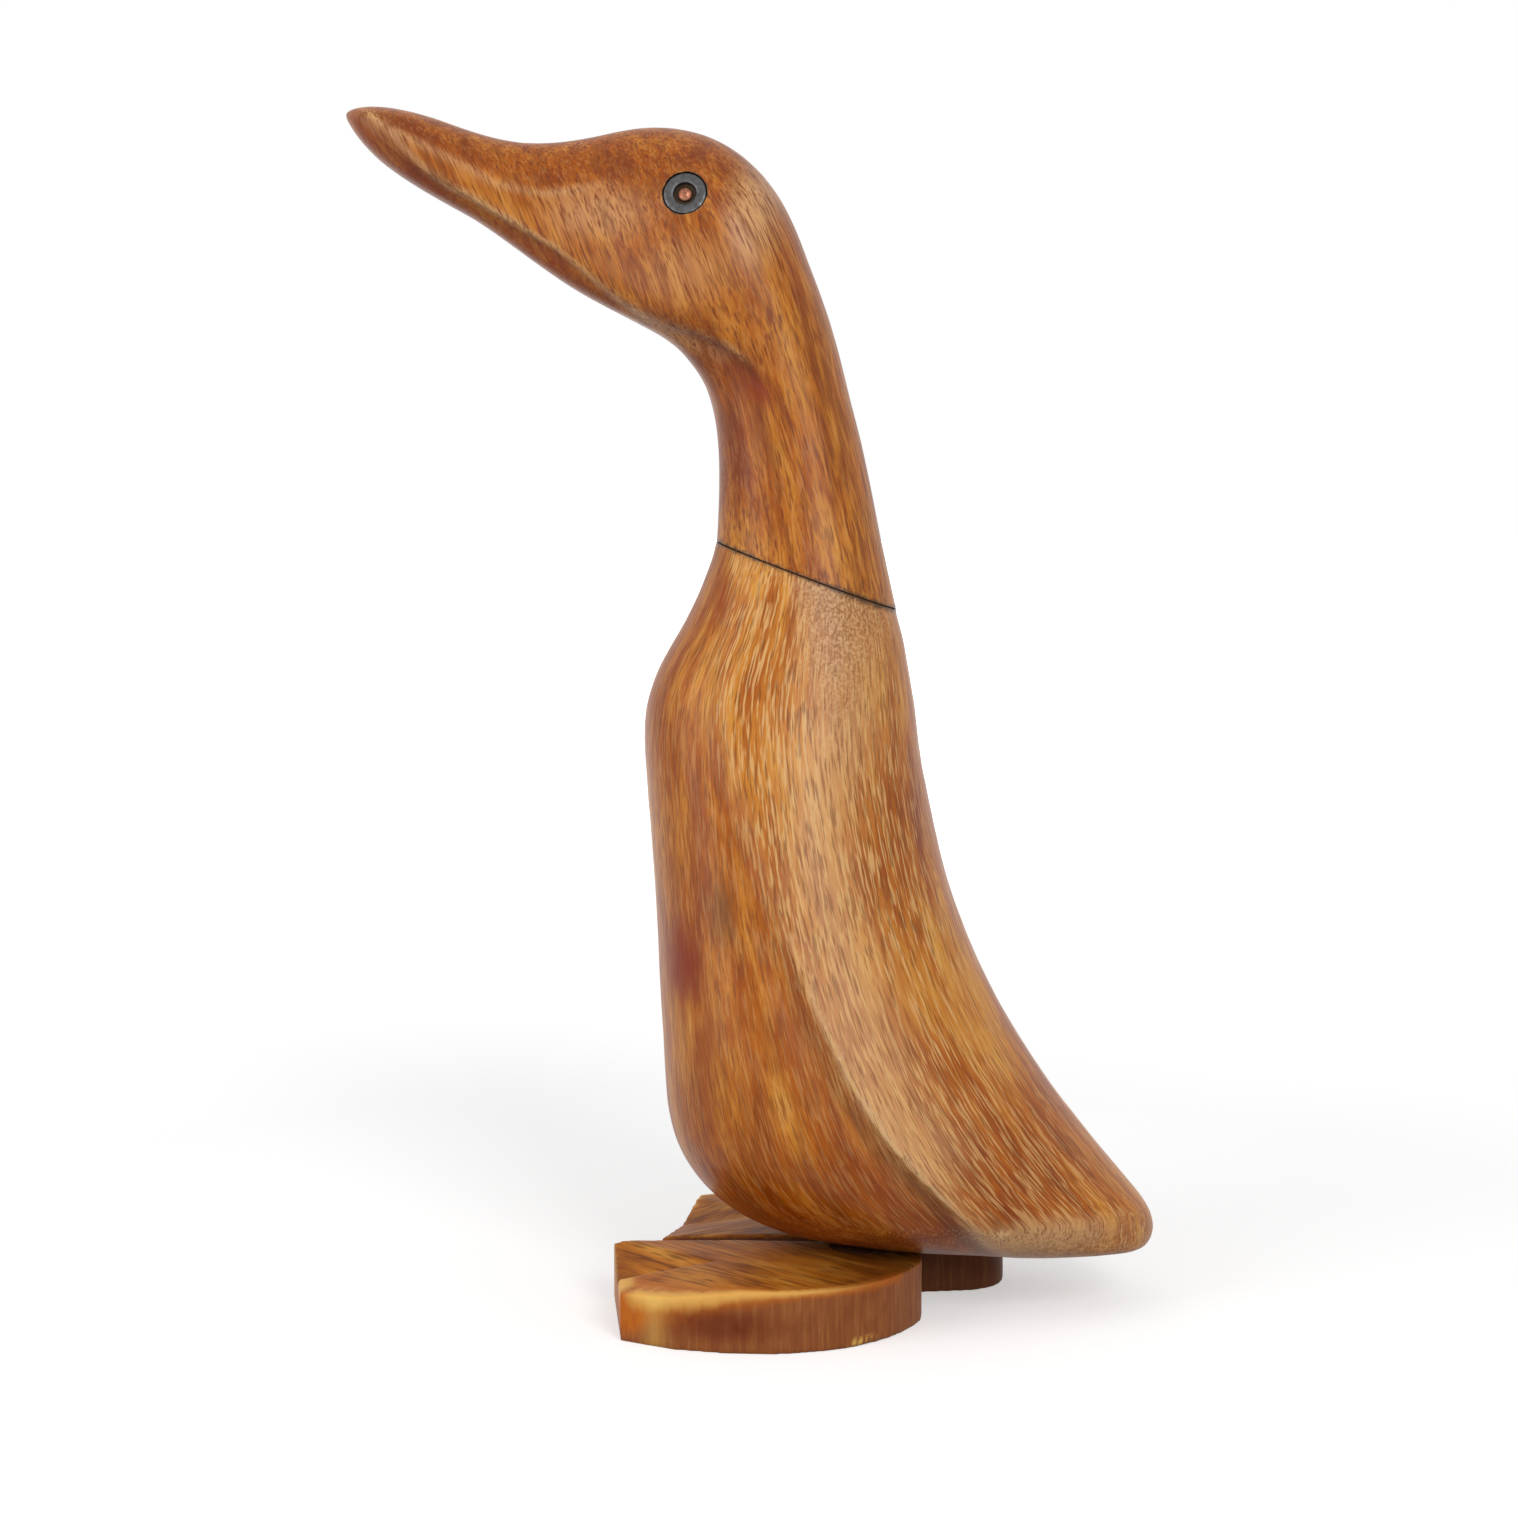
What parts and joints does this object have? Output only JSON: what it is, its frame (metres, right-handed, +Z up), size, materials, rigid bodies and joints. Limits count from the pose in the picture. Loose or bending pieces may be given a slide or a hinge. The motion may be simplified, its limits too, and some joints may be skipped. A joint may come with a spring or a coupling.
{
  "type": "carved duck ornament",
  "caption": "Standing duck carved from a varnished bamboo root, with a long neck, folded wings, ring eyes and thick web feet.",
  "frame": {"origin": "middle of the bounding box, on the ground under the feet", "axes": "+Z up, the bill points along -X, the duck's left side faces -Y"},
  "size_m": [0.1942, 0.0978, 0.2867],
  "materials": {
    "bamboo_root": "varnished, satin to glossy",
    "foot_wood": "varnished, satin",
    "dowel_wood": "plain turned beech",
    "screw_steel": "zinc plated",
    "blued_steel": "blued, worn",
    "copper": null
  },
  "bodies": {
    "root": {"body": "bamboo_root", "head_neck": "bamboo_root", "neck_dowel": "dowel_wood", "left_foot": "foot_wood", "right_foot": "foot_wood", "left_foot_screw": "screw_steel", "right_foot_screw": "screw_steel", "left_eye_ring": "blued_steel", "right_eye_ring": "blued_steel", "left_eye_nail": "copper", "right_eye_nail": "copper"}
  },
  "joints": []
}
